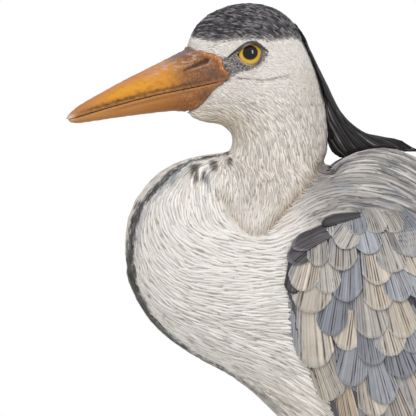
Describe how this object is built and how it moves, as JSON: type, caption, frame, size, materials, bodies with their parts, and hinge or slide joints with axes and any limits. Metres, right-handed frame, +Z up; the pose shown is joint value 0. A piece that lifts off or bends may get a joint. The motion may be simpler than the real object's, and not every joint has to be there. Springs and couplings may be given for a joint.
{
  "type": "cast resin heron statue",
  "caption": "Standing painted cast resin heron with folded neck, dagger bill, hanging nape plumes, closed wings, short tail and long bare legs.",
  "frame": {"origin": "on the floor, at the middle of the statue's bounding box", "axes": "+Z up, the bill points to -X, the tail to +X, and the bird's left side is at -Y"},
  "size_m": [0.3742, 0.139, 0.6998],
  "materials": {
    "white_plumage": "off-white paint with a grey-brown wash in the carving, flat varnish",
    "black_plumage": "soft black paint, dry-brushed grey, flat varnish",
    "wing_plumage": "beige and blue-grey paint with a dark wash, flat varnish",
    "flight_plumage": "slate paint, dry-brushed, flat varnish",
    "bill_orange": "orange-yellow and brown glaze, satin to gloss varnish",
    "eye_glass": "yellow iris and black pupil under a clear gloss dome",
    "leg_ochre": "ochre-brown paint with a dark wash, satin varnish",
    "claw_horn": "dark brown paint, satin varnish"
  },
  "bodies": {
    "root": {"head": "white_plumage", "neck": "white_plumage", "breast": "white_plumage", "trunk": "white_plumage", "thigh_left": "white_plumage", "thigh_right": "white_plumage", "crest": "black_plumage", "bill_upper": "bill_orange", "bill_lower": "bill_orange", "eye_left": "eye_glass", "eye_right": "eye_glass", "wing_left": "wing_plumage", "wing_right": "wing_plumage", "tail": "wing_plumage", "wing_tip_left": "flight_plumage", "wing_tip_right": "flight_plumage", "tibia_left": "leg_ochre", "tibia_right": "leg_ochre", "tarsus_left": "leg_ochre", "tarsus_right": "leg_ochre", "foot_left": "leg_ochre", "foot_right": "leg_ochre", "claw_inner_left": "claw_horn", "claw_middle_left": "claw_horn", "claw_outer_left": "claw_horn", "claw_hind_left": "claw_horn", "claw_inner_right": "claw_horn", "claw_middle_right": "claw_horn", "claw_outer_right": "claw_horn", "claw_hind_right": "claw_horn"}
  },
  "joints": []
}
